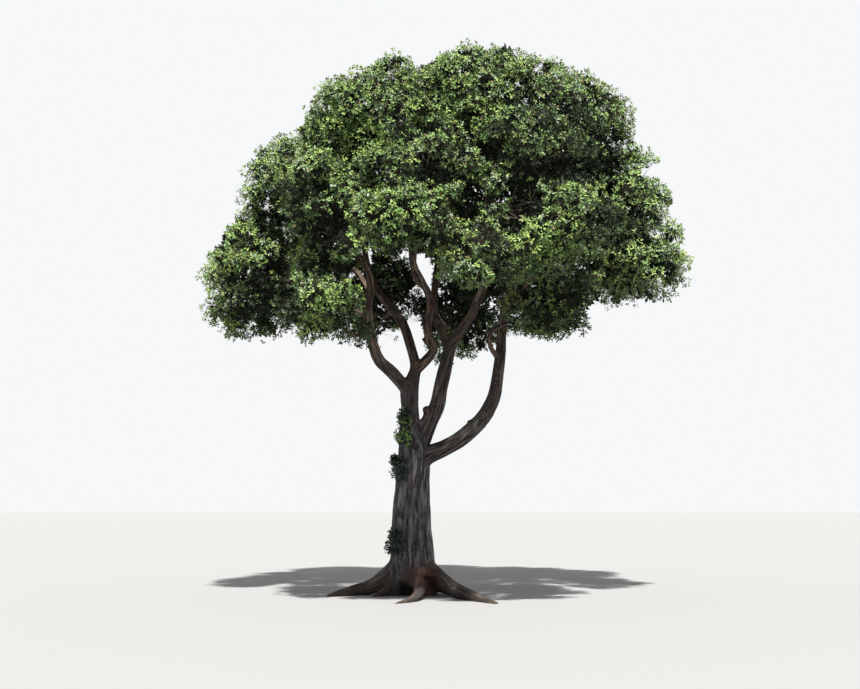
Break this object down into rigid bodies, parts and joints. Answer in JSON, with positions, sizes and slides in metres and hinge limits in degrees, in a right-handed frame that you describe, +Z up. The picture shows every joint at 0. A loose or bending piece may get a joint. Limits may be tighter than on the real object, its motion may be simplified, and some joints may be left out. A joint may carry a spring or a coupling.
{
  "type": "evergreen oak tree",
  "caption": "Evergreen oak with a wide domed crown of clumped foliage on forking boughs and a stout trunk that flares into surface roots.",
  "frame": {"origin": "middle of the flat cut under the trunk, at ground level", "axes": "+Z up along the trunk, -Y towards the front, where the boughs show below the crown, +X to the right as seen from the front"},
  "size_m": [8.0311, 7.3728, 9.1],
  "materials": {
    "bark": "rough furrowed bark",
    "foliage": "small leathery leaves",
    "shoots": "dark young leaves"
  },
  "bodies": {
    "root": {"bough_back_centre": "bark", "bough_back_left": "bark", "bough_back_left_edge": "bark", "bough_back_low_centre": "bark", "bough_back_low_left": "bark", "bough_back_low_right": "bark", "bough_back_right": "bark", "bough_back_right_edge": "bark", "bough_centre_front": "bark", "bough_centre_front_upper": "bark", "bough_centre_left": "bark", "bough_centre_right": "bark", "bough_centre_stem": "bark", "bough_front_right_low": "bark", "bough_left_front_low": "bark", "bough_left_inner": "bark", "bough_left_low": "bark", "bough_left_outer": "bark", "bough_left_shoulder": "bark", "bough_left_stem": "bark", "bough_middle": "bark", "bough_right_edge_low": "bark", "bough_right_edge_upper": "bark", "bough_right_front": "bark", "bough_right_low": "bark", "bough_right_lower": "bark", "bough_right_upper": "bark", "bough_top_front": "bark", "foliage_back_centre": "foliage", "foliage_back_left": "foliage", "foliage_back_left_edge": "foliage", "foliage_back_low_centre": "foliage", "foliage_back_low_left": "foliage", "foliage_back_low_right": "foliage", "foliage_back_right": "foliage", "foliage_back_right_edge": "foliage", "foliage_back_top": "foliage", "foliage_centre_front": "foliage", "foliage_centre_front_upper": "foliage", "foliage_front_right_low": "foliage", "foliage_left_front": "foliage", "foliage_left_front_low": "foliage", "foliage_left_low": "foliage", "foliage_left_shoulder": "foliage", "foliage_right_edge_low": "foliage", "foliage_right_edge_upper": "foliage", "foliage_right_front": "foliage", "foliage_right_low": "foliage", "foliage_right_upper_front": "foliage", "foliage_top_front": "foliage", "foliage_top_left": "foliage", "foliage_upper_left": "foliage", "foliage_upper_right": "foliage", "shoots_low": "shoots", "shoots_middle": "shoots", "shoots_upper": "shoots", "trunk": "bark"}
  },
  "joints": []
}
